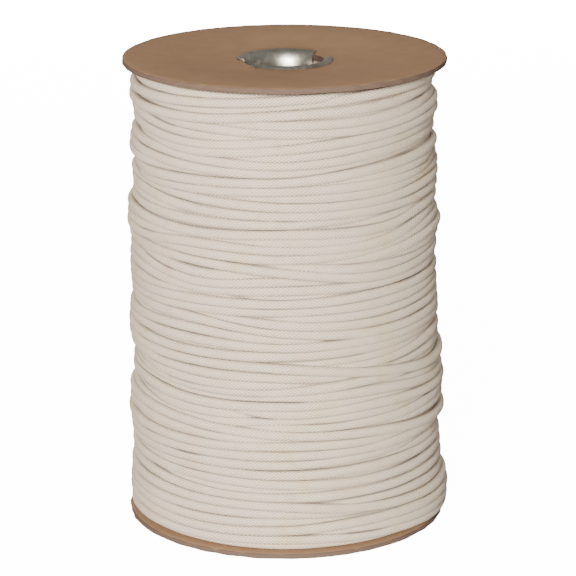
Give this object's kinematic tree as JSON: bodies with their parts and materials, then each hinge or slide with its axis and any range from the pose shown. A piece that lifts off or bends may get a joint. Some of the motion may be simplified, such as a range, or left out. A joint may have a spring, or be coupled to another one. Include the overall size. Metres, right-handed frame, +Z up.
{
  "type": "cotton cord on a flanged spool",
  "caption": "Braided cotton cord wound in near-level layers on a barrel with round board flanges and flared lips.",
  "frame": {"origin": "on the surface the spool stands on, on the barrel's axis", "axes": "+Z up along the barrel's axis, -Y towards the viewer, +X to the viewer's right"},
  "size_m": [0.1161, 0.1142, 0.1672],
  "materials": {
    "cotton": "natural undyed round braid, matt",
    "chipboard": "raw kraft-lined grey chipboard, matt, cut rim",
    "tinplate": "bright rolled tinplate"
  },
  "bodies": {
    "root": {"cord_winding": "cotton", "lower_flange": "chipboard", "upper_flange": "chipboard", "barrel": "tinplate"}
  },
  "joints": []
}
